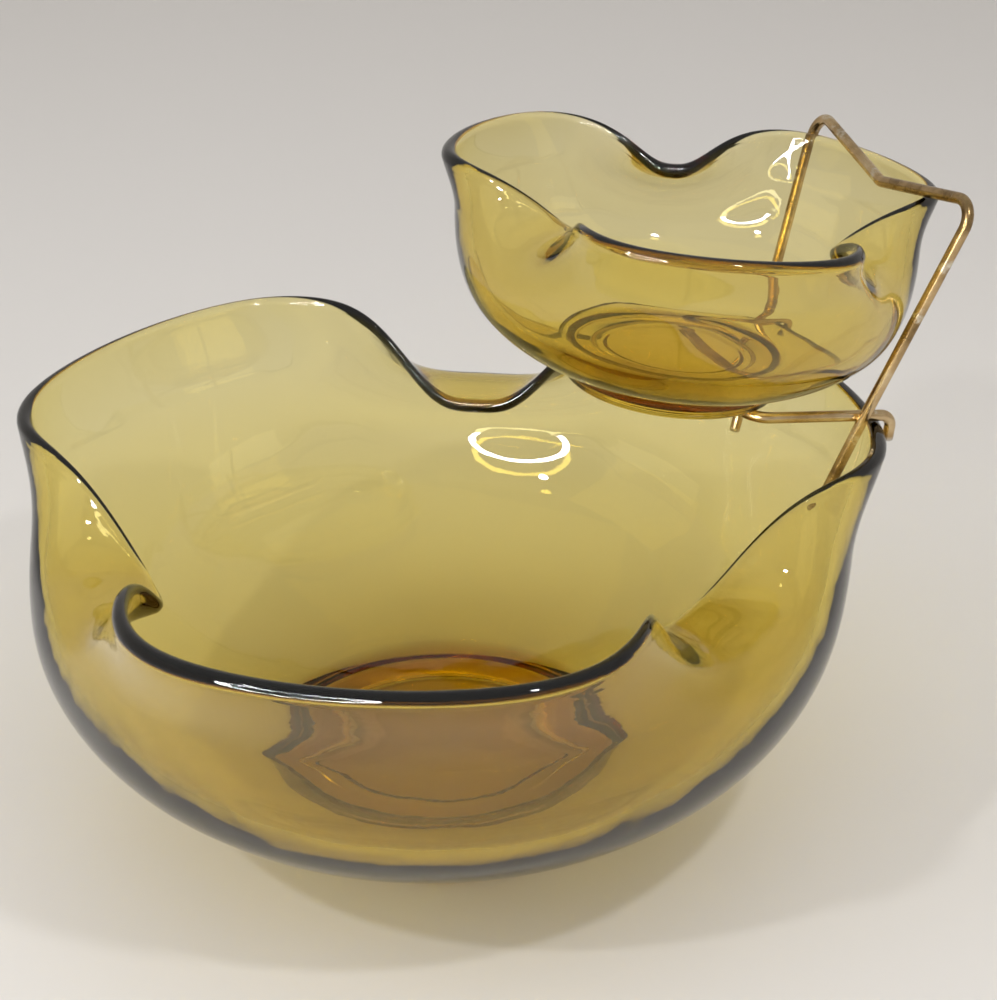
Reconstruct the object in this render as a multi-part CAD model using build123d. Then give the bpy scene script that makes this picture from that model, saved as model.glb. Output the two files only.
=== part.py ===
"""Chip and dip server: two three-lobed pressed-glass bowls and the wire bracket that joins them.

Frame: millimetres, +Z up, origin at the middle of the chip bowl's foot on the table. +X points to
the bracket, which hangs on the chip bowl's rim and is the same on both sides of the XZ plane. The
bracket and the dip bowl on it are drawn in a frame of their own, which leans outwards a little.
"""
from build123d import *
from dataclasses import dataclass
import math
import os

LOBES = 3    # each rim has this many raised lobes, and as many pinched dips between them
HALF_SECTIONS = (60, 50, 40, 33, 27, 21, 15, 8)                   # degrees from a dip
SECTIONS = tuple(-angle for angle in HALF_SECTIONS) + (0,) + HALF_SECTIONS[::-1]   # lobe to lobe
PLACES = (0, 0.25, 0.5, 0.75, 1, 1.33, 1.67, 2, 2.3, 2.65, 3)       # foot 0, join 1, shoulder 2, rim 3

THINNING = 1.5   # how late the glass thins on its way up the wall


@dataclass
class Bowl:
    """One pressed bowl: a curved middle line of glass with a thickness, and a disc foot below it."""
    foot_radius: float       # the disc it stands on
    foot_edge: float         # rounding of the foot's lower edge
    ring_width: float        # the flat ring round the outside of the foot
    groove_width: float      # the pressed groove inside that ring
    recess: float            # how deep the groove is
    floor_height: float      # top of the glass floor inside
    body_bottom: float       # underside of the body's curve, inside the foot
    body_radius: float       # outside of the round body at its widest
    body_middle: float       # height of that widest place
    body_power: float        # 2 is an ellipse, more is squarer
    body_start: float        # degrees round the body's curve where the flat floor gives way to it
    wall: float              # glass thickness of the upper body
    bead: float              # radius of the fire-polished rim
    join_height: float       # below this the bowl is round, above it the dips begin
    lobe_radius: float       # middle of the rim bead at a lobe
    lobe_height: float       # top of the rim at a lobe
    lobe_flare: float        # degrees from level at which the wall ends at a lobe
    shoulder_radius: float   # middle of the wall at its shoulder, at a lobe
    shoulder_height: float   # height of that shoulder
    shoulder_angle: float    # degrees from level of the wall there
    pinch_in: float          # how far a dip is pressed inwards at the rim
    pinch_down: float        # how far a dip lies below the lobes
    pinch_width_in: float    # degrees, half width of the inward press
    pinch_width_down: float  # degrees, half width of the drop
    pinch_power_in: float    # steepness of the sides of the inward press
    pinch_power_down: float  # steepness of the sides of the drop
    fold_radius: float       # middle of the wall where it folds over at a dip
    fold_height: float       # height of that fold
    fold_slope: float        # degrees from level of the wall at the fold
    fold_angle: float        # degrees from level at which the wall ends at a dip
    turn: float              # degrees from +X to the middle of a lobe


chip = Bowl(
    foot_radius=56.0, foot_edge=1.5, ring_width=8.5, groove_width=7.5, recess=1.6,
    floor_height=11.0, body_bottom=3.0,
    body_radius=122.4, body_middle=84.0, body_power=2.0, body_start=9.0, wall=4.4, bead=2.6,
    join_height=46.0, lobe_radius=130.8, lobe_height=117.5, lobe_flare=72.0,
    shoulder_radius=121.5, shoulder_height=90.0, shoulder_angle=80.0, pinch_in=42.8, pinch_down=26.3,
    pinch_width_in=24.8, pinch_width_down=17.2, pinch_power_in=2.9, pinch_power_down=3.4,
    fold_radius=115.0, fold_height=84.0, fold_slope=118.0, fold_angle=182.0, turn=3.5)

dip = Bowl(
    foot_radius=32.0, foot_edge=1.2, ring_width=6.0, groove_width=5.0, recess=1.2,
    floor_height=7.2, body_bottom=2.6,
    body_radius=68.0, body_middle=45.0, body_power=2.4, body_start=12.0, wall=3.8, bead=2.3,
    join_height=22.0, lobe_radius=72.4, lobe_height=62.3, lobe_flare=70.0,
    shoulder_radius=67.0, shoulder_height=46.0, shoulder_angle=84.0, pinch_in=27.2, pinch_down=9.9,
    pinch_width_in=23.7, pinch_width_down=17.2, pinch_power_in=2.6, pinch_power_down=2.5,
    fold_radius=61.0, fold_height=41.0, fold_slope=118.0, fold_angle=155.0, turn=13.0)

floor_lap = 0.3          # how far the flat floor covers the start of the curved glass
floor_spread = 1.35      # the floor disc's buried edge, as a share of the curved glass's start radius

# The bracket: two bent wires, spot-welded where they cross.
wire = 3.4               # diameter of both wires
clear = 0.3              # running gap between wire and glass
weld_sink = 0.3          # how far the wires are squeezed into each other at the welds
bracket_lean = 5.9       # degrees, the bracket and dip bowl lean outwards
arm_spread = 31.6        # half the distance between the two support arms at the rim
arm_spread_inner = 28.0  # the same at the bend under the dip bowl's foot
arm_bend = 7.0           # bend radius of the support wire under the foot
foot_reach = 53.4        # from the rim's crest in to the middle of the dip bowl's foot
bend_offset = 13.8       # the support wire's bend lies this far outside the foot's middle
hook_bend = 3.6          # bend radius of the hooks, at the wire's middle
hook_drop = 8.0          # the hooks reach this far below the support arms
leg_drop = 31.5          # the clip's legs end this far below the support arms
leg_close = 5.0          # their lower ends are this much closer to the middle than at the arms
leg_slack = 1.31          # and stand this far off the flaring wall beyond the running gap
LEG_PLACES = (2, 2.2, 2.4, 2.6, 2.8)   # where the wall beside the legs is measured, shoulder 2, rim 3
leg_bend = 8.0           # bend radius of the slight bend where the legs cross the arms
clip_rise = 4.2          # top corners of the clip above a wire that just clears the dip bowl's rim
clip_angle = 36.5        # degrees round the dip bowl from the middle to where each leg passes its rim
clip_slack = 0.7         # how far the legs stand off that rim beyond the running gap
clip_bend = 6.0          # bend radius of the top corners
tongue_in = 11.9         # the point of the clip's V, in from the crest of the dip bowl's rim
tongue_dip = 4.5         # and below a wire that just clears that rim
tongue_bend = 5.0        # its bend radius


def pinch(angle, width, power):
    """1 in the middle of a dip, falling smoothly to 0 at the lobes. Angles in degrees."""
    return math.exp(-((abs(angle) / width) ** power))


def blend(start, end, share):
    """The value a share of the way from start to end."""
    return start + share * (end - start)


def body_point(bowl, turned):
    """Middle of the glass of the round body, turned degrees up its superellipse from the axis."""
    bottom = (bowl.body_bottom + bowl.floor_height) / 2
    power = 2 / bowl.body_power
    across = math.sin(math.radians(turned)) ** power
    down = math.cos(math.radians(turned)) ** power
    return Vector((bowl.body_radius - bowl.wall / 2) * across,
                  bowl.body_middle - (bowl.body_middle - bottom) * down)


def join_turn(bowl):
    """How far up the superellipse the join lies, in degrees."""
    bottom = (bowl.body_bottom + bowl.floor_height) / 2
    drop = (bowl.body_middle - bowl.join_height) / (bowl.body_middle - bottom)
    return math.degrees(math.acos(drop ** (bowl.body_power / 2)))


def hermite(start, start_way, end, end_way, share):
    """A curve from start to end that leaves and arrives along the two unit directions."""
    reach = (end - start).length
    turn_out = share * (1 - share) ** 2
    turn_in = share ** 2 * (share - 1)
    ease = share ** 2 * (3 - 2 * share)
    return start * (1 - ease) + end * ease + start_way * (reach * turn_out) + end_way * (reach * turn_in)


def way(degrees):
    """Unit direction in the upright plane, degrees above level."""
    return Vector(math.cos(math.radians(degrees)), math.sin(math.radians(degrees)))


def middle(bowl, angle, place):
    """Middle of the glass at an angle from a dip, as (r, z): place runs 0 to 3 from foot to rim."""
    join = join_turn(bowl)
    if place <= 1:
        return body_point(bowl, blend(bowl.body_start, join, place))
    inward = pinch(angle, bowl.pinch_width_in, bowl.pinch_power_in)
    down = pinch(angle, bowl.pinch_width_down, bowl.pinch_power_down)
    shoulder = Vector(blend(bowl.shoulder_radius, bowl.fold_radius, inward),
                      blend(bowl.shoulder_height, bowl.fold_height, down))
    shoulder_way = way(blend(bowl.shoulder_angle, bowl.fold_slope, inward))
    if place <= 2:
        below = body_point(bowl, join - 0.1)
        start = body_point(bowl, join)
        return hermite(start, (start - below).normalized(), shoulder, shoulder_way, place - 1)
    rim = Vector(bowl.lobe_radius - inward * bowl.pinch_in,
                 bowl.lobe_height - bowl.bead - down * bowl.pinch_down)
    return hermite(shoulder, shoulder_way, rim, way(blend(bowl.lobe_flare, bowl.fold_angle, inward)),
                   place - 2)


def half_glass(bowl, place):
    """Half the thickness: heavy at the floor, thinner up the wall, swelling again to the rim's bead."""
    floor_half = (bowl.floor_height - bowl.body_bottom) / 2
    if place <= 2:
        return blend(floor_half, bowl.wall / 2, (place / 2) ** THINNING)
    return blend(bowl.wall / 2, bowl.bead, (place - 2) ** 2)


def skin_point(bowl, angle, place, side):
    """A point of the skin; side turns from -90 outside, over the rim at 0, to 90 inside."""
    step = 0.001
    here = middle(bowl, angle, place)
    ahead = (here - middle(bowl, angle, place - step)).normalized()
    outward = Vector(ahead.Y, -ahead.X)
    turned = math.radians(side)
    return here + (outward * -math.sin(turned) + ahead * math.cos(turned)) * half_glass(bowl, place)


def section(bowl, angle):
    """Closed outline of the glass in the upright plane at an angle from a dip."""
    def spot(place, side):
        point = skin_point(bowl, angle, place, side)
        turned = math.radians(angle)
        return Vector(point.X * math.cos(turned), point.X * math.sin(turned), point.Y)

    top = PLACES[-1]
    outer = [spot(place, -90) for place in PLACES]
    inner = [spot(place, 90) for place in reversed(PLACES)]
    outside = Edge.make_spline(outer, parameters=[place / top for place in PLACES])
    inside = Edge.make_spline(inner, parameters=[1 - place / top for place in reversed(PLACES)])
    rounding = Edge.make_three_point_arc(outer[-1], spot(top, 0), inner[0])
    return Wire([outside, rounding, inside, Edge.make_line(inner[-1], outer[0])])


def floor_level(bowl):
    """Top of the flat floor, just above the place where the curved glass begins."""
    return skin_point(bowl, 0, 0, 90).Y + floor_lap


def foot_disc(bowl):
    """The flat floor and the stepped foot with its groove, lapped into the curved glass."""
    ring_inside = bowl.foot_radius - bowl.ring_width
    centre = ring_inside - bowl.groove_width
    level = floor_level(bowl)
    floor_edge = skin_point(bowl, 0, 0, 90).X * floor_spread
    side_turn = math.degrees(math.asin((bowl.foot_radius / bowl.body_radius) ** (bowl.body_power / 2)))
    side_top = body_point(bowl, side_turn).Y
    outline = Polyline((0, 0), (centre, 0), (centre + bowl.recess, bowl.recess),
                       (ring_inside - bowl.recess, bowl.recess), (ring_inside, 0),
                       (bowl.foot_radius, 0), (bowl.foot_radius, side_top), (floor_edge, level),
                       (0, level), close=True)
    disc = revolve(Plane.XZ * make_face(outline), Axis.Z)
    circles = disc.edges().filter_by(GeomType.CIRCLE)
    outer_edge = circles.group_by(Axis.Z)[0].sort_by(SortBy.RADIUS)[-1]
    return fillet(outer_edge, bowl.foot_edge)


def make_bowl(bowl):
    """A whole bowl about the Z axis: three like sectors of curved glass and the foot."""
    sector = Solid.make_loft([section(bowl, angle) for angle in SECTIONS])
    first = bowl.turn + 180 / LOBES
    sectors = [sector.rotate(Axis.Z, first + number * 360 / LOBES) for number in range(LOBES)]
    glass = sectors[0].fuse(*sectors[1:])
    return foot_disc(bowl).solid().fuse(glass)


def bend_wire(points, radii):
    """A round wire along straight runs joined by arcs."""
    path = FilletPolyline(*points, radius=radii)
    return sweep(Plane(origin=path @ 0, z_dir=path % 0) * Circle(wire / 2), path)


# The bracket's own frame: its origin is the middle of the support wire where it crosses the crest
# of the chip bowl's rim, X runs outwards along the support arms, and the whole frame leans.
crest_x = math.sqrt(chip.lobe_radius ** 2 - arm_spread ** 2)
crest_z = chip.lobe_height + wire / 2 + clear
lean = Location((crest_x, 0, crest_z), (0, bracket_lean, 0))
foot_lift = wire / 2 + clear          # the dip bowl's foot above the middle of the support wire
hook_x = chip.bead + wire / 2 + clear + hook_drop * math.sin(math.radians(bracket_lean))
bend_x = bend_offset - foot_reach


def arm_side(x):
    """How far a support arm lies from the middle, at a reach x from the rim's crest."""
    return blend(arm_spread, arm_spread_inner, (hook_x - x) / (hook_x - bend_x))


def make_support_wire():
    """Hook, arm, bend under the dip bowl's foot, arm and hook, in one wire."""
    half = [(hook_x, arm_spread, -hook_drop), (hook_x, arm_spread, 0), (bend_x, arm_spread_inner, 0)]
    points = half + [(x, -y, z) for x, y, z in reversed(half)]
    return bend_wire(points, [hook_bend, arm_bend, arm_bend, hook_bend])


def leg_end_radius(cross_radius):
    """How far out a straight leg from the crossing can end and stay inside the flaring wall."""
    ends = []
    for place in LEG_PLACES:
        wall = skin_point(chip, 180 / LOBES, place, 90)
        ends.append(blend(cross_radius, wall.X - wire / 2 - clear, leg_drop / (crest_z - wall.Y)))
    return min(ends) - leg_slack


def make_clip_wire():
    """Leg, top corner, V that reaches over the dip bowl's rim, top corner and leg, in one wire."""
    leaned = math.radians(bracket_lean)
    cross_radius = chip.lobe_radius - chip.bead - wire / 2 - clear
    cross_x = math.sqrt(cross_radius ** 2 - (arm_spread + wire) ** 2) - crest_x
    cross_y = arm_side(cross_x) + wire - weld_sink
    end_y = cross_y - leg_close
    end_radius = leg_end_radius(cross_radius)
    end_reach = math.sqrt(end_radius ** 2 - end_y ** 2) - crest_x
    end_x = (end_reach + leg_drop * math.sin(leaned)) / math.cos(leaned)
    rim_place = PLACES[-1]
    rim_radius = middle(dip, 180 / LOBES - (clip_angle - dip.turn), rim_place).X
    out = rim_radius + dip.bead + wire / 2 + clear + clip_slack
    over_rim = foot_lift + dip.lobe_height + wire / 2 + clear
    top_z = over_rim + clip_rise
    rise = top_z / (foot_lift + dip.lobe_height - dip.bead)
    top_x = blend(cross_x, out * math.cos(math.radians(clip_angle)) - foot_reach, rise)
    top_y = blend(cross_y, out * math.sin(math.radians(clip_angle)), rise)
    half = [(end_x, end_y, -leg_drop), (cross_x, cross_y, 0), (top_x, top_y, top_z)]
    tongue = (dip.lobe_radius - tongue_in - foot_reach, 0, over_rim - tongue_dip)
    points = half + [tongue] + [(x, -y, z) for x, y, z in reversed(half)]
    return bend_wire(points, [leg_bend, clip_bend, tongue_bend, clip_bend, leg_bend])


parts = {
    "chip_bowl": make_bowl(chip),
    "dip_bowl": lean * Location((-foot_reach, 0, foot_lift)) * make_bowl(dip),
    "support_wire": lean * make_support_wire(),
    "clip_wire": lean * make_clip_wire(),
}

os.makedirs("parts", exist_ok=True)
for name, shape in parts.items():
    export_step(shape, f"parts/{name}.step")
    box = shape.bounding_box()
    print(name, "volume", round(shape.volume), "valid", shape.is_valid, "from", box.min, "to", box.max)
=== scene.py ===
import math

import bpy
import numpy as np
from mathutils import Matrix, Vector


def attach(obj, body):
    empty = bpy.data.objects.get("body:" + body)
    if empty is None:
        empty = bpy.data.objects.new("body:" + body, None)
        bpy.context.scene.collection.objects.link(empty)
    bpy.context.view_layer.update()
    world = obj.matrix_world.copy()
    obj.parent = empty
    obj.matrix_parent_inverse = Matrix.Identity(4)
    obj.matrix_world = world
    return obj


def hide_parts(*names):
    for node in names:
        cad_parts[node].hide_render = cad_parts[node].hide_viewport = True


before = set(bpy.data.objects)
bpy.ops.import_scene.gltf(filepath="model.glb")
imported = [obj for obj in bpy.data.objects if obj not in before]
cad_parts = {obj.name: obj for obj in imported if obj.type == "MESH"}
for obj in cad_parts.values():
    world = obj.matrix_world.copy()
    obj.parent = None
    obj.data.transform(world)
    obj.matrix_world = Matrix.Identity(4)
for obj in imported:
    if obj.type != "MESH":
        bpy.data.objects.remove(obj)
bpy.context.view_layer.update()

# Chip and dip server: two pressed-glass bowls and the plated wire bracket between them.
# Sizes in the dictionaries are millimetres and degrees, the meshes are metres.
mm = 0.001
print("frame loaded:", sorted(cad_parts))

bowlShared = dict(
    lobes=3,             # raised lobes round each rim, with a pinched dip between each pair
    aroundSteps=384,     # mesh columns round a bowl
    wallSteps=62,        # mesh rows up one side of the wall
    rimSteps=14,         # rows over the rim bead
    floorSteps=16,       # rows across the flat floor
    thinning=1.5,        # how late the glass thins on its way up the wall
    cornerSteps=6,       # points round each corner of the foot
    trialSteps=400,      # places tried to find where the foot and the floor meet the wall
    floorLap=0.3,        # the flat floor covers the start of the curved glass by this much
    footCorner=0.45,     # rounding inside the foot's groove, as a share of its depth
    footGap=0.6,         # the foot's wall stops this far below the curved glass
    rowGap=0.02,         # how far from the foot and the floor the wall's rows begin, as a share of the body
    lowRows=0.9, highRows=1.1,     # below and above 1, rows stand closer at the rim
    floorInset=0.8,      # first floor row, inwards of the wall's last
    middle=0.06,         # last floor row, as a share of the floor's radius
    underMiddle=0.35,    # first row under the foot, as a share of the flat middle
    pressMark=1.2,       # strength of the press marks beside the dips
    pressFrom=1.9, pressTo=2.9,    # where up the wall they stand: 1 join, 2 shoulder, 3 rim
)

chipBowl = dict(
    footRadius=56.0, footEdge=1.5, ringWidth=8.5, grooveWidth=7.5, recess=1.6, floorHeight=11.0,
    bodyBottom=3.0, bodyRadius=122.4, bodyMiddle=84.0, bodyPower=2.0, bodyStart=9.0, wall=4.4, bead=2.6,
    joinHeight=46.0, lobeRadius=130.8, lobeHeight=117.5, lobeFlare=72.0,
    shoulderRadius=121.5, shoulderHeight=90.0, shoulderAngle=80.0, pinchIn=42.8, pinchDown=26.3,
    pinchWidthIn=24.8, pinchWidthDown=17.2, pinchPowerIn=2.9, pinchPowerDown=3.4,
    foldRadius=115.0, foldHeight=84.0, foldSlope=118.0, foldAngle=182.0, turn=3.5)

dipBowl = dict(
    footRadius=32.0, footEdge=1.2, ringWidth=6.0, grooveWidth=5.0, recess=1.2, floorHeight=7.2,
    bodyBottom=2.6, bodyRadius=68.0, bodyMiddle=45.0, bodyPower=2.4, bodyStart=12.0, wall=3.8, bead=2.3,
    joinHeight=22.0, lobeRadius=72.4, lobeHeight=62.3, lobeFlare=70.0,
    shoulderRadius=67.0, shoulderHeight=46.0, shoulderAngle=84.0, pinchIn=27.2, pinchDown=9.9,
    pinchWidthIn=23.7, pinchWidthDown=17.2, pinchPowerIn=2.6, pinchPowerDown=2.5,
    foldRadius=61.0, foldHeight=41.0, foldSlope=118.0, foldAngle=155.0, turn=13.0)

bracket = dict(
    wire=3.4, clear=0.3, weldSink=0.3, lean=5.9, armSpread=31.6, armSpreadInner=28.0, armBend=7.0,
    footReach=53.4, bendOffset=13.8, hookBend=3.6, hookDrop=8.0, legDrop=31.5, legClose=5.0,
    legSlack=1.31, legPlaces=(2, 2.2, 2.4, 2.6, 2.8), legBend=8.0, clipRise=4.2, clipAngle=36.5,
    clipSlack=0.7, clipBend=6.0, tongueIn=11.9, tongueDip=4.5, tongueBend=5.0,
    ringSteps=28, arcSteps=14, straightStep=1.5, endChamfer=0.35)


def addMesh(name, points, faces):
    # vertices and faces as whole arrays into one mesh object at the origin
    mesh = bpy.data.meshes.new(name)
    mesh.from_pydata(points.reshape(-1, 3).tolist(), [], faces)
    mesh.validate()
    mesh.polygons.foreach_set("use_smooth", np.ones(len(mesh.polygons), dtype=bool))
    mesh.update()
    piece = bpy.data.objects.new(name, mesh)
    bpy.context.scene.collection.objects.link(piece)
    return piece


def addAttribute(piece, name, values):
    # one number for each vertex, for the materials to read
    spot = piece.data.attributes.new(name, "FLOAT", "POINT")
    spot.data.foreach_set("value", values.astype(np.float32))


def gridFaces(rows, columns):
    # quads between neighbouring rows of a grid whose columns close round into a ring
    row = np.arange(rows - 1)[:, None] * columns
    column = np.arange(columns)[None, :]
    after = (column + 1) % columns
    quads = np.stack([row + column, row + after, row + columns + after, row + columns + column], axis=-1)
    return quads.reshape(-1, 4).tolist()


def fanFaces(ring, columns, pole, flip):
    # triangles from one ring to a pole point
    column = np.arange(columns)
    after = (column + 1) % columns
    pair = (after, column) if flip else (column, after)
    return np.stack([ring + pair[0], ring + pair[1], np.full(columns, pole)], axis=-1).tolist()


def closedTube(name, grid, poles, place):
    # rows of closed rings with a fan to a pole at each end, moved from their own frame to the shared one
    rows, columns = grid.shape[:2]
    points = np.concatenate([grid.reshape(-1, 3), poles])
    points = points @ np.array(place.to_3x3()).T + np.array(place.translation)
    faces = gridFaces(rows, columns)
    faces += fanFaces(0, columns, rows * columns, True)
    faces += fanFaces((rows - 1) * columns, columns, rows * columns + 1, False)
    print(name, "rows", rows, "columns", columns)
    return addMesh(name, points * mm, faces)


def pinchShare(angle, width, power):
    # exp(-(|angle| / width) ^ power): 1 in the middle of a dip, 0 at the lobes
    return np.exp(-(np.abs(angle) / width) ** power)


def mix(start, end, share):
    # start + share * (end - start)
    return start + share * (end - start)


def bodyCurve(bowl, turned):
    # superellipse from the axis up: r = R sin(t)^(2/p), z = middle - (middle - bottom) cos(t)^(2/p)
    bottom = (bowl["bodyBottom"] + bowl["floorHeight"]) / 2
    power = 2 / bowl["bodyPower"]
    radius = (bowl["bodyRadius"] - bowl["wall"] / 2) * np.sin(np.radians(turned)) ** power
    height = bowl["bodyMiddle"] - (bowl["bodyMiddle"] - bottom) * np.cos(np.radians(turned)) ** power
    return radius, height


def joinTurn(bowl):
    # the superellipse angle whose height is the join's
    bottom = (bowl["bodyBottom"] + bowl["floorHeight"]) / 2
    drop = (bowl["bodyMiddle"] - bowl["joinHeight"]) / (bowl["bodyMiddle"] - bottom)
    return math.degrees(math.acos(drop ** (bowl["bodyPower"] / 2)))


def easedRun(start, startWay, end, endWay, share):
    # cubic Hermite from start to end, leaving and arriving along two unit directions
    reach = np.hypot(end[0] - start[0], end[1] - start[1])
    leave = share * (1 - share) ** 2 * reach
    arrive = share ** 2 * (share - 1) * reach
    ease = share ** 2 * (3 - 2 * share)
    return tuple(start[k] * (1 - ease) + end[k] * ease + startWay[k] * leave + endWay[k] * arrive
                 for k in (0, 1))


def glassMiddle(bowl, angle, place):
    # middle line of the glass (r, z): body curve for place 0 to 1, then two eased runs,
    # join to shoulder and shoulder to rim, whose ends are mixed between lobe and dip
    join = joinTurn(bowl)
    inward = pinchShare(angle, bowl["pinchWidthIn"], bowl["pinchPowerIn"])
    down = pinchShare(angle, bowl["pinchWidthDown"], bowl["pinchPowerDown"])
    body = bodyCurve(bowl, mix(bowl["bodyStart"], join, np.clip(place, None, 1)))
    start = bodyCurve(bowl, join)
    below = bodyCurve(bowl, join - 0.1)      # a tenth of a degree lower, for the way the curve leaves
    startLength = math.hypot(start[0] - below[0], start[1] - below[1])
    startWay = ((start[0] - below[0]) / startLength, (start[1] - below[1]) / startLength)
    shoulder = (mix(bowl["shoulderRadius"], bowl["foldRadius"], inward),
                mix(bowl["shoulderHeight"], bowl["foldHeight"], down))
    shoulderTurn = np.radians(mix(bowl["shoulderAngle"], bowl["foldSlope"], inward))
    shoulderWay = (np.cos(shoulderTurn), np.sin(shoulderTurn))
    rim = (bowl["lobeRadius"] - inward * bowl["pinchIn"],
           bowl["lobeHeight"] - bowl["bead"] - down * bowl["pinchDown"])
    rimTurn = np.radians(mix(bowl["lobeFlare"], bowl["foldAngle"], inward))
    rimWay = (np.cos(rimTurn), np.sin(rimTurn))
    lower = easedRun(start, startWay, shoulder, shoulderWay, np.clip(place - 1, 0, 1))
    upper = easedRun(shoulder, shoulderWay, rim, rimWay, np.clip(place - 2, 0, None))
    return tuple(np.where(place <= 1, body[k], np.where(place <= 2, lower[k], upper[k]))
                 for k in (0, 1))


def halfGlass(bowl, place):
    # half thickness: floor to wall with (place / 2) ^ thinning, then swelling to the rim bead
    # with the square of what is left
    floorHalf = (bowl["floorHeight"] - bowl["bodyBottom"]) / 2
    low = mix(floorHalf, bowl["wall"] / 2, (np.clip(place, 0, 2) / 2) ** bowlShared["thinning"])
    high = mix(bowl["wall"] / 2, bowl["bead"], np.clip(place - 2, 0, None) ** 2)
    return np.where(place <= 2, low, high)


def glassSkin(bowl, angle, place, side):
    # the middle line moved half the thickness; side -90 is outside, 0 over the rim, 90 inside
    step = 0.001      # of a place, to find the way the middle line runs
    radius, height = glassMiddle(bowl, angle, place)
    radiusBefore, heightBefore = glassMiddle(bowl, angle, place - step)
    length = np.hypot(radius - radiusBefore, height - heightBefore)
    aheadR, aheadZ = (radius - radiusBefore) / length, (height - heightBefore) / length
    outward = -np.sin(np.radians(side))
    along = np.cos(np.radians(side))
    half = halfGlass(bowl, place)
    return (radius + (aheadZ * outward + aheadR * along) * half,
            height + (aheadZ * along - aheadR * outward) * half)


def roundedRun(corners, radii, steps):
    # an outline whose corners are rounded: each corner gives steps points of a quadratic Bezier
    # from radius before it to radius after it
    corners = np.array(corners, dtype=float)
    points = [corners[:1]]
    share = np.linspace(0, 1, steps)[:, None]
    for number, radius in enumerate(radii, start=1):
        before, corner, after = corners[number - 1:number + 2]
        inTo = corner - (corner - before) * radius / np.linalg.norm(corner - before)
        outOf = corner + (after - corner) * radius / np.linalg.norm(after - corner)
        points.append(inTo * (1 - share) ** 2 + corner * 2 * share * (1 - share) + outOf * share ** 2)
    points.append(corners[-1:])
    return np.concatenate(points)


def bowlRows(bowl):
    # every row of the bowl's closed skin as r and z arrays, from under the foot, up the outside,
    # over the rim, down the inside and across the floor
    lobeStep = 360 / bowlShared["lobes"]
    around = np.arange(bowlShared["aroundSteps"]) * 360 / bowlShared["aroundSteps"]
    fromDip = (around - bowl["turn"]) % lobeStep - lobeStep / 2      # 0 in the middle of a dip
    ringInside = bowl["footRadius"] - bowl["ringWidth"]
    centre = ringInside - bowl["grooveWidth"]
    trial = np.linspace(0, 1, bowlShared["trialSteps"])
    outerR, outerZ = glassSkin(bowl, 0.0, trial, -90)
    innerR, innerZ = glassSkin(bowl, 0.0, trial, 90)
    footPlace = float(np.interp(bowl["footRadius"], outerR, trial))
    footTop = float(np.interp(footPlace, trial, outerZ))
    floorLevel = float(innerZ[0]) + bowlShared["floorLap"]
    floorPlace = float(np.interp(floorLevel, innerZ, trial))
    small = bowl["recess"] * bowlShared["footCorner"]
    foot = roundedRun(
        [(centre * bowlShared["underMiddle"], 0), (centre, 0), (centre + bowl["recess"], bowl["recess"]),
         (ringInside - bowl["recess"], bowl["recess"]), (ringInside, 0), (bowl["footRadius"], 0),
         (bowl["footRadius"], footTop - bowlShared["footGap"])],
        [small, small, small, small, bowl["footEdge"]], bowlShared["cornerSteps"])
    footR = np.repeat(foot[:, :1], around.size, axis=1)
    footZ = np.repeat(foot[:, 1:], around.size, axis=1)
    even = np.linspace(0, 1, bowlShared["wallSteps"])[:, None]
    wallPlaces = mix(footPlace + bowlShared["rowGap"], 3, even ** bowlShared["lowRows"])
    outer = glassSkin(bowl, fromDip[None, :], wallPlaces, -90)
    sides = np.linspace(-90, 90, bowlShared["rimSteps"] + 2)[1:-1][:, None]
    rim = glassSkin(bowl, fromDip[None, :], np.full_like(sides, 3.0), sides)
    insidePlaces = mix(3, floorPlace + bowlShared["rowGap"], even ** bowlShared["highRows"])
    inner = glassSkin(bowl, fromDip[None, :], insidePlaces, 90)
    floorEdge = float(np.interp(floorPlace, trial, innerR)) - bowlShared["floorInset"]
    floorRadii = np.linspace(floorEdge, floorEdge * bowlShared["middle"], bowlShared["floorSteps"])[:, None]
    floorR = np.repeat(floorRadii, around.size, axis=1)
    floorZ = np.full_like(floorR, floorLevel)
    radius = np.concatenate([footR, outer[0], rim[0], inner[0], floorR])
    height = np.concatenate([footZ, outer[1], rim[1], inner[1], floorZ])
    # press marks: strength * p (1 - p), so strongest on both flanks of a dip, and only near the rim
    place = np.concatenate([np.zeros_like(footR[:, :1]), wallPlaces, np.full_like(sides, 3), insidePlaces,
                            np.zeros_like(floorRadii)])
    flank = pinchShare(fromDip, bowl["pinchWidthIn"], bowl["pinchPowerIn"])
    marks = (bowlShared["pressMark"] * flank * (1 - flank) * np.clip(place - bowlShared["pressFrom"], 0, 1)
             * (place < bowlShared["pressTo"]))
    return np.radians(around), radius, height, floorLevel, marks


def makeBowl(name, bowl, place):
    # turns the rows round the axis, x = r cos(t) and y = r sin(t), closes both poles
    # and puts the bowl in its place
    around, radius, height, floorLevel, marks = bowlRows(bowl)
    grid = np.stack([radius * np.cos(around), radius * np.sin(around), height], axis=-1)
    piece = closedTube(name, grid, [[0, 0, 0], [0, 0, floorLevel]], place)
    addAttribute(piece, "pressMark", np.concatenate([marks.reshape(-1), [0, 0]]))
    return piece


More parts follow.
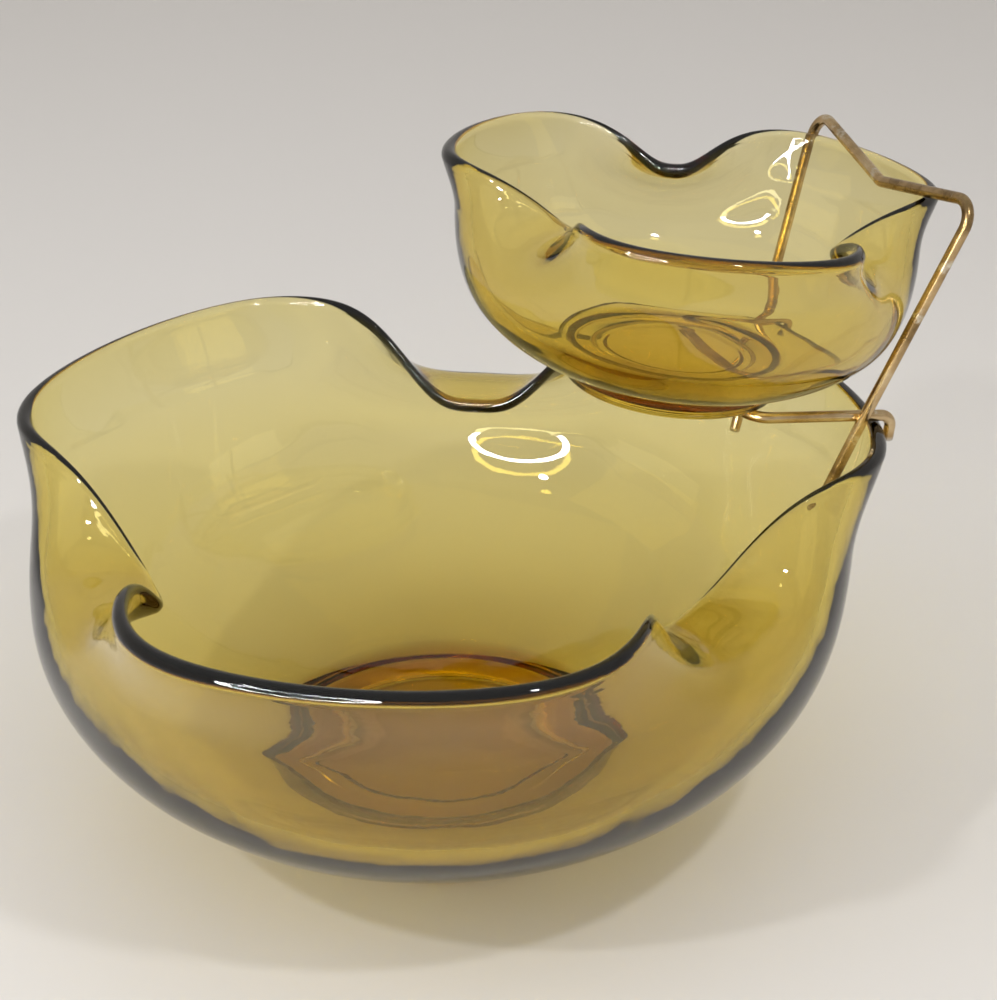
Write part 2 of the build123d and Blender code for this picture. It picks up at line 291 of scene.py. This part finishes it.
def bentPath(corners, radii):
    # straight runs joined by arcs tangent to both: the arc's centre lies on the corner's bisector
    corners = np.array(corners, dtype=float)
    pieces = []
    last = corners[0]
    for number, radius in enumerate(radii, start=1):
        corner = corners[number]
        back = (corners[number - 1] - corner) / np.linalg.norm(corners[number - 1] - corner)
        on = (corners[number + 1] - corner) / np.linalg.norm(corners[number + 1] - corner)
        half = math.acos(float(np.clip(back @ on, -1, 1))) / 2
        reach = radius / math.tan(half)
        centre = corner + (back + on) / np.linalg.norm(back + on) * radius / math.sin(half)
        first, second = corner + back * reach - centre, corner + on * reach - centre
        swing = math.pi - 2 * half
        share = np.linspace(0, 1, bracket["arcSteps"])[:, None]
        turned = first * np.sin((1 - share) * swing) + second * np.sin(share * swing)
        arc = centre + turned / math.sin(swing)
        run = max(2, int(np.linalg.norm(arc[0] - last) / bracket["straightStep"]))
        pieces += [last + (arc[0] - last) * np.linspace(0, 1, run)[:-1, None], arc[:-1]]
        last = arc[-1]
    run = max(2, int(np.linalg.norm(corners[-1] - last) / bracket["straightStep"]))
    pieces.append(last + (corners[-1] - last) * np.linspace(0, 1, run)[:, None])
    return np.concatenate(pieces)


def makeWire(name, corners, radii, aside, place):
    # a circle carried along the path: each ring lies in the plane square to the path there,
    # and the cut ends have a small chamfer; the attribute fromEnd is the distance from the nearer end
    path = bentPath(corners, radii)
    ahead = np.gradient(path, axis=0)
    ahead /= np.linalg.norm(ahead, axis=1, keepdims=True)
    wide = np.cross(ahead, np.array(aside, dtype=float))
    wide /= np.linalg.norm(wide, axis=1, keepdims=True)
    tall = np.cross(wide, ahead)
    turned = np.arange(bracket["ringSteps"]) * 2 * math.pi / bracket["ringSteps"]
    cut = bracket["endChamfer"]
    radius = np.full(len(path), bracket["wire"] / 2)
    path = np.concatenate([path[:1], path[:1] + ahead[:1] * cut, path[1:-1],
                           path[-1:] - ahead[-1:] * cut, path[-1:]])
    wide, tall = (np.concatenate([way[:1], way, way[-1:]]) for way in (wide, tall))
    radius = np.concatenate([radius[:1] - cut, radius, radius[-1:] - cut])
    grid = (path[:, None] + radius[:, None, None] * (wide[:, None] * np.cos(turned)[None, :, None]
                                                    + tall[:, None] * np.sin(turned)[None, :, None]))
    piece = closedTube(name, grid, np.concatenate([path[:1], path[-1:]]), place)
    along = np.concatenate([[0], np.cumsum(np.linalg.norm(np.diff(path, axis=0), axis=1))])
    fromEnd = np.minimum(along, along[-1] - along)
    addAttribute(piece, "fromEnd", np.concatenate([np.repeat(fromEnd, bracket["ringSteps"]), [0, 0]]))
    return piece


def linearColour(hexText):
    # sRGB hex to linear light: c / 12.92 below 0.04045, else ((c + 0.055) / 1.055) ^ 2.4
    parts = [int(hexText[k:k + 2], 16) / 255 for k in (1, 3, 5)]
    return tuple(c / 12.92 if c <= 0.04045 else ((c + 0.055) / 1.055) ** 2.4 for c in parts) + (1.0,)


def addNode(tree, kind, inputs=None, links=None, **settings):
    # one node with its settings, socket values and incoming links
    node = tree.nodes.new(kind)
    for key, value in settings.items():
        setattr(node, key, value)
    for key, value in (inputs or {}).items():
        node.inputs[key].default_value = value
    for key, source in (links or {}).items():
        tree.links.new(source, node.inputs[key])
    return node


def colourSteps(tree, factor, steps):
    # a ramp of (position, hex) steps
    ramp = addNode(tree, "ShaderNodeValToRGB", links={"Fac": factor})
    for element, (position, text) in zip(ramp.color_ramp.elements, (steps[0], steps[-1])):
        element.position, element.color = position, linearColour(text)
    for position, text in steps[1:-1]:
        ramp.color_ramp.elements.new(position).color = linearColour(text)
    return ramp.outputs["Color"]


glassLook = dict(
    chip=dict(density=190.0, tint=(0.88, 0.77, 0.03)),   # density is per metre of glass
    dip=dict(density=205.0, tint=(0.88, 0.76, 0.03)),    # a shade deeper
    ior=1.51,             # soda-lime glass
    roughness=0.02,       # fire-polished
    waveScale=26.0,       # slow waves about 40 mm long
    chillScale=240.0,     # chill marks about 4 mm across
    chillShare=0.02,      # their height beside the waves'
    creaseScale=75.0,     # press marks about 13 mm across
    creaseTwist=1.2,
    bumpHeight=0.0006, bumpStrength=0.55)


def makeGlass(name, look):
    # clear olive-amber pressed glass: pale where thin, nearly black brown in the thick rim and foot,
    # with the slow waves and faint chill marks that a pressing leaves
    material = bpy.data.materials.new(name)
    material.use_nodes = True
    tree = material.node_tree
    tree.nodes.clear()
    place = addNode(tree, "ShaderNodeTexCoord").outputs["Object"]
    waves = addNode(tree, "ShaderNodeTexNoise", {"Scale": glassLook["waveScale"], "Detail": 2.0},
                    {"Vector": place}).outputs["Fac"]
    chill = addNode(tree, "ShaderNodeTexNoise", {"Scale": glassLook["chillScale"], "Detail": 3.0},
                    {"Vector": place}).outputs["Fac"]
    height = addNode(tree, "ShaderNodeMath", {1: glassLook["chillShare"]}, {0: chill, 2: waves},
                     operation="MULTIPLY_ADD").outputs[0]
    creases = addNode(tree, "ShaderNodeTexNoise",
                      {"Scale": glassLook["creaseScale"], "Detail": 2.0,
                       "Distortion": glassLook["creaseTwist"]}, {"Vector": place}).outputs["Fac"]
    marked = addNode(tree, "ShaderNodeAttribute", attribute_name="pressMark").outputs["Fac"]
    creased = addNode(tree, "ShaderNodeMath", links={0: creases, 1: marked, 2: height},
                      operation="MULTIPLY_ADD").outputs[0]
    bump = addNode(tree, "ShaderNodeBump",
                   {"Strength": glassLook["bumpStrength"], "Distance": glassLook["bumpHeight"]},
                   {"Height": creased})
    shader = addNode(tree, "ShaderNodeBsdfPrincipled",
                     {"Base Color": (1, 1, 1, 1), "Roughness": glassLook["roughness"],
                      "IOR": glassLook["ior"], "Transmission Weight": 1.0},
                     {"Normal": bump.outputs["Normal"]})
    volume = addNode(tree, "ShaderNodeVolumeAbsorption",
                     {"Color": look["tint"] + (1.0,), "Density": look["density"]})
    addNode(tree, "ShaderNodeOutputMaterial",
            links={"Surface": shader.outputs["BSDF"], "Volume": volume.outputs["Volume"]})
    return material


plateLook = dict(
    patchScale=55.0,      # tarnish patches about 18 mm long
    wearScale=120.0,      # rubbed places about 8 mm
    fineScale=420.0,      # pits about 2 mm, coarser than real ones so that they show
    gold=[(0.30, "#5A4630"), (0.42, "#957C55"), (0.54, "#C0A478"), (0.70, "#DCC9A4")],
    rubbed="#DDD3BE", rubbedFrom=0.56, rubbedTo=0.66,
    cutEnd="#D8D6D0", cutFrom=0.1, cutTo=1.6,     # mm from the wire's end
    tarnishFrom=0.3, tarnishTo=0.7, roughest=0.32, smoothest=0.16,
    pitStrength=0.25, pitDepth=0.0001)


def makePlate(name):
    # worn gold-coloured plating on steel wire: dull brassy gold with brown tarnish in soft patches,
    # paler rubbed places and a bright cut end
    material = bpy.data.materials.new(name)
    material.use_nodes = True
    tree = material.node_tree
    tree.nodes.clear()
    place = addNode(tree, "ShaderNodeTexCoord").outputs["Object"]
    noises = ((plateLook["patchScale"], 5.0, 0.6), (plateLook["wearScale"], 8.0, 0.7),
              (plateLook["fineScale"], 4.0, 0.7))
    patches, wear, pits = (
        addNode(tree, "ShaderNodeTexNoise", {"Scale": scale, "Detail": detail, "Roughness": rough},
                {"Vector": place}).outputs["Fac"] for scale, detail, rough in noises)
    gold = colourSteps(tree, patches, plateLook["gold"])
    rubbed = addNode(tree, "ShaderNodeMapRange", {1: plateLook["rubbedFrom"], 2: plateLook["rubbedTo"]},
                     {0: wear}).outputs[0]
    plated = addNode(tree, "ShaderNodeMix", links={"Factor": rubbed}, data_type="RGBA")
    tree.links.new(gold, plated.inputs[6])
    plated.inputs[7].default_value = linearColour(plateLook["rubbed"])
    distance = addNode(tree, "ShaderNodeAttribute", attribute_name="fromEnd").outputs["Fac"]
    cut = addNode(tree, "ShaderNodeMapRange",
                  {1: plateLook["cutFrom"], 2: plateLook["cutTo"], 3: 1.0, 4: 0.0},
                  {0: distance}).outputs[0]
    colour = addNode(tree, "ShaderNodeMix", links={"Factor": cut}, data_type="RGBA")
    tree.links.new(plated.outputs[2], colour.inputs[6])
    colour.inputs[7].default_value = linearColour(plateLook["cutEnd"])
    rough = addNode(tree, "ShaderNodeMapRange",
                    {1: plateLook["tarnishFrom"], 2: plateLook["tarnishTo"],
                     3: plateLook["roughest"], 4: plateLook["smoothest"]}, {0: patches}).outputs[0]
    bump = addNode(tree, "ShaderNodeBump",
                   {"Strength": plateLook["pitStrength"], "Distance": plateLook["pitDepth"]},
                   {"Height": pits})
    shader = addNode(tree, "ShaderNodeBsdfPrincipled", {"Metallic": 1.0},
                     {"Base Color": colour.outputs[2], "Roughness": rough,
                      "Normal": bump.outputs["Normal"]})
    addNode(tree, "ShaderNodeOutputMaterial", links={"Surface": shader.outputs["BSDF"]})
    return material


# The bracket's own frame: origin where the support wire's middle crosses the rim's crest, X outwards.
b = bracket
leanTurn = math.radians(b["lean"])
crestX = math.sqrt(chipBowl["lobeRadius"] ** 2 - b["armSpread"] ** 2)
crestZ = chipBowl["lobeHeight"] + b["wire"] / 2 + b["clear"]
bracketFrame = Matrix.Translation((crestX, 0, crestZ)) @ Matrix.Rotation(leanTurn, 4, "Y")
footLift = b["wire"] / 2 + b["clear"]
hookX = chipBowl["bead"] + b["wire"] / 2 + b["clear"] + b["hookDrop"] * math.sin(leanTurn)
bendX = b["bendOffset"] - b["footReach"]


def mirrored(half, middlePoints=()):
    # the half's corners, the middle ones, and the half again on the other side
    return list(half) + list(middlePoints) + [(x, -y, z) for x, y, z in reversed(half)]


def supportWireCorners():
    # a hook's end, its top over the rim and the corner of the bend under the dip bowl
    half = [(hookX, b["armSpread"], -b["hookDrop"]), (hookX, b["armSpread"], 0),
            (bendX, b["armSpreadInner"], 0)]
    return mirrored(half), [b["hookBend"], b["armBend"], b["armBend"], b["hookBend"]]


def clipWireCorners():
    # from a leg's end up: the end where a straight leg clears the flaring wall, the crossing just
    # outside the support wire's arm, the top corner at crossing + (rim point - crossing) * rise,
    # so that the upright passes clear of the dip bowl's rim, then the V's point over that rim
    crossRadius = chipBowl["lobeRadius"] - chipBowl["bead"] - b["wire"] / 2 - b["clear"]
    crossX = math.sqrt(crossRadius ** 2 - (b["armSpread"] + b["wire"]) ** 2) - crestX
    armSide = mix(b["armSpread"], b["armSpreadInner"], (hookX - crossX) / (hookX - bendX))
    crossY = armSide + b["wire"] - b["weldSink"]
    endY = crossY - b["legClose"]
    places = np.array(b["legPlaces"])
    wallRadius, wallHeight = glassSkin(chipBowl, np.float64(180 / bowlShared["lobes"]), places, 90)
    ends = mix(crossRadius, wallRadius - b["wire"] / 2 - b["clear"], b["legDrop"] / (crestZ - wallHeight))
    endRadius = float(ends.min()) - b["legSlack"]
    endReach = math.sqrt(endRadius ** 2 - endY ** 2) - crestX
    endX = (endReach + b["legDrop"] * math.sin(leanTurn)) / math.cos(leanTurn)
    fromDip = np.float64(180 / bowlShared["lobes"] - (b["clipAngle"] - dipBowl["turn"]))
    rimRadius = float(glassMiddle(dipBowl, fromDip, np.float64(3))[0])
    out = rimRadius + dipBowl["bead"] + b["wire"] / 2 + b["clear"] + b["clipSlack"]
    overRim = footLift + dipBowl["lobeHeight"] + b["wire"] / 2 + b["clear"]
    topZ = overRim + b["clipRise"]
    rise = topZ / (footLift + dipBowl["lobeHeight"] - dipBowl["bead"])
    topX = mix(crossX, out * math.cos(math.radians(b["clipAngle"])) - b["footReach"], rise)
    topY = mix(crossY, out * math.sin(math.radians(b["clipAngle"])), rise)
    half = [(endX, endY, -b["legDrop"]), (crossX, crossY, 0), (topX, topY, topZ)]
    tongue = (dipBowl["lobeRadius"] - b["tongueIn"] - b["footReach"], 0, overRim - b["tongueDip"])
    bends = [b[bend] for bend in ("legBend", "clipBend", "tongueBend", "clipBend", "legBend")]
    return mirrored(half, [tongue]), bends


dipPlace = bracketFrame @ Matrix.Translation((-b["footReach"], 0, footLift))
chipGlass = makeGlass("oliveAmberPressedGlass", glassLook["chip"])
dipGlass = makeGlass("amberPressedGlassDeeper", glassLook["dip"])
wornPlate = makePlate("wornGoldPlatedWire")

# The three numbers after a wire's corners are a direction it never runs along, to start its rings from.
finished = (
    (makeBowl("chipBowl", chipBowl, Matrix.Identity(4)),
     "chip_bowl", "chip_bowl_body", "chip_glass", chipGlass),
    (makeBowl("dipBowl", dipBowl, dipPlace), "dip_bowl", "dip_bowl_body", "dip_glass", dipGlass),
    (makeWire("supportWire", *supportWireCorners(), (0.5, 0.5, 0.7), bracketFrame),
     "support_wire", "bracket", "wire_plate", wornPlate),
    (makeWire("clipWire", *clipWireCorners(), (1, 0, 0), bracketFrame),
     "clip_wire", "bracket", "wire_plate", wornPlate),
)
for piece, node, body, slotName, material in finished:
    piece.data.materials.append(material)
    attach(piece, body)
    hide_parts(node)
print("pieces made:", [entry[0].name for entry in finished])

# Stage: one paper sweep, soft lights and a ring lamp high on the viewer's side.
sweep = dict(
    below=0.1,           # the paper lies this far under the foot
    radius=1150.0, bend=350.0, rise=1500.0, around=96, bendSteps=24, middle=5.0,
    paper="#DAD7D4", roughness=0.8, grainScale=900.0, grainStrength=0.05, grainHeight=0.0002)


def makeSweep():
    # round paper floor that turns up into a wall: a disc, a quarter circle and a cylinder about the Z axis
    arc = np.linspace(0, math.pi / 2, sweep["bendSteps"])
    radius = np.concatenate([[sweep["middle"]], sweep["radius"] + sweep["bend"] * np.sin(arc),
                             [sweep["radius"] + sweep["bend"]]])
    height = np.concatenate([[0], sweep["bend"] * (1 - np.cos(arc)), [sweep["rise"]]]) - sweep["below"]
    turned = np.arange(sweep["around"]) * 2 * math.pi / sweep["around"]
    grid = np.stack([radius[:, None] * np.cos(turned), radius[:, None] * np.sin(turned),
                     np.repeat(height[:, None], turned.size, axis=1)], axis=-1)
    rows, columns = grid.shape[:2]
    grid = np.concatenate([grid.reshape(-1, 3), [[0, 0, -sweep["below"]]]])
    faces = gridFaces(rows, columns) + fanFaces(0, columns, rows * columns, True)
    sheet = addMesh("paperSweep", grid * mm, faces)
    material = bpy.data.materials.new("mattWhitePaper")
    material.use_nodes = True
    tree = material.node_tree
    tree.nodes.clear()
    grain = addNode(tree, "ShaderNodeTexNoise", {"Scale": sweep["grainScale"], "Detail": 3.0},
                    {"Vector": addNode(tree, "ShaderNodeTexCoord").outputs["Object"]})
    bump = addNode(tree, "ShaderNodeBump",
                   {"Strength": sweep["grainStrength"], "Distance": sweep["grainHeight"]},
                   {"Height": grain.outputs["Fac"]})
    shader = addNode(tree, "ShaderNodeBsdfPrincipled",
                     {"Base Color": linearColour(sweep["paper"]), "Roughness": sweep["roughness"]},
                     {"Normal": bump.outputs["Normal"]})
    addNode(tree, "ShaderNodeOutputMaterial", links={"Surface": shader.outputs["BSDF"]})
    sheet.data.materials.append(material)


view = dict(azimuth=-19.25, elevation=27.96, distance=579.5, lookAt=(17.1, -6.9, 99.0),
            roll=-0.38, lens=70.7, sensor=36.0, farthest=50.0)


def fromView(right, up, back):
    # a point given from the look-at point, along the camera's right, straight up and back towards it
    turnBy = math.radians(view["azimuth"])
    rightWay = Vector((math.cos(turnBy), math.sin(turnBy), 0))
    backWay = Vector((math.sin(turnBy), -math.cos(turnBy), 0))
    return (Vector(view["lookAt"]) + rightWay * right + Vector((0, 0, up)) + backWay * back) * mm


def aimed(thing, target, roll=0.0):
    # turns a lamp or camera so that its -Z looks at the target
    facing = (target - thing.location).to_track_quat("-Z", "Y").to_matrix().to_4x4()
    thing.rotation_euler = (facing @ Matrix.Rotation(roll, 4, "Z")).to_euler()


lamps = dict(
    # right, up and back from the look-at point; the wide ones only soften, the small ones glint
    softTop=dict(place=(-100, 1500, 150), size=2200, sizeY=1800, watts=9.0),
    softFront=dict(place=(-200, 650, 900), size=900, sizeY=500, watts=0.5),
    smallSpotLeft=dict(place=(-420, 520, 420), size=40, watts=1.2),
    smallSpotRight=dict(place=(260, 620, 380), size=50, watts=1.2),
    softLeft=dict(place=(-1100, 500, 300), size=800, sizeY=900, watts=3.0),
    softRight=dict(place=(1100, 450, 500), size=600, sizeY=800, watts=2.0),
)


def addLamp(name, settings):
    # an area lamp aimed at the look-at point: a rectangle with no glint, or a small disc with one
    wide = "sizeY" in settings
    lamp = bpy.data.lights.new(name, "AREA")
    lamp.shape = "RECTANGLE" if wide else "DISK"
    lamp.size = settings["size"] * mm
    if wide:
        lamp.size_y = settings["sizeY"] * mm
    lamp.energy = settings["watts"]
    thing = bpy.data.objects.new(name, lamp)
    thing.location = fromView(*settings["place"])
    bpy.context.scene.collection.objects.link(thing)
    aimed(thing, Vector(view["lookAt"]) * mm)
    thing.visible_glossy = not wide


ringLamp = dict(right=-310.0, up=200.0, back=560.0, radius=190.0, width=30.0, glow=60.0, steps=96)


def makeRingLamp():
    # a flat glowing ring facing the object, between radius - width / 2 and radius + width / 2
    turned = np.arange(ringLamp["steps"]) * 2 * math.pi / ringLamp["steps"]
    radii = ringLamp["radius"] + np.array([0.5, -0.5]) * ringLamp["width"]
    middle = fromView(ringLamp["right"], ringLamp["up"], ringLamp["back"])
    facing = (Vector(view["lookAt"]) * mm - middle).to_track_quat("-Z", "Y").to_matrix()
    flat = np.stack([radii[:, None] * np.cos(turned), radii[:, None] * np.sin(turned),
                     np.zeros((2, turned.size))], axis=-1)
    points = flat.reshape(-1, 3) @ np.array(facing).T * mm + np.array(middle)
    ring = addMesh("ringLamp", points, gridFaces(2, ringLamp["steps"]))
    material = bpy.data.materials.new("lampGlow")
    material.use_nodes = True
    tree = material.node_tree
    tree.nodes.clear()
    glow = addNode(tree, "ShaderNodeEmission", {"Strength": ringLamp["glow"]})
    addNode(tree, "ShaderNodeOutputMaterial", links={"Surface": glow.outputs["Emission"]})
    ring.data.materials.append(material)
    ring.visible_camera = False
    ring.visible_diffuse = False      # only its reflection counts; the soft lamps light the paper


makeSweep()
makeRingLamp()
for name, settings in lamps.items():
    addLamp(name, settings)
room = dict(colour="#F2F1EE", strength=0.58)
world = bpy.data.worlds.new("softRoom")
world.use_nodes = True
background = world.node_tree.nodes["Background"]
background.inputs["Color"].default_value = linearColour(room["colour"])
background.inputs["Strength"].default_value = room["strength"]
bpy.context.scene.world = world

cameraData = bpy.data.cameras.new("camera")
cameraData.lens = view["lens"]
cameraData.sensor_width = view["sensor"]
cameraData.clip_end = view["farthest"]
camera = bpy.data.objects.new("camera", cameraData)
tilt = math.radians(view["elevation"])
camera.location = fromView(0, view["distance"] * math.sin(tilt), view["distance"] * math.cos(tilt))
bpy.context.scene.collection.objects.link(camera)
aimed(camera, Vector(view["lookAt"]) * mm, math.radians(view["roll"]))
bpy.context.scene.camera = camera
bpy.context.scene.view_settings.view_transform = "Standard"
print("stage, lights and camera set")
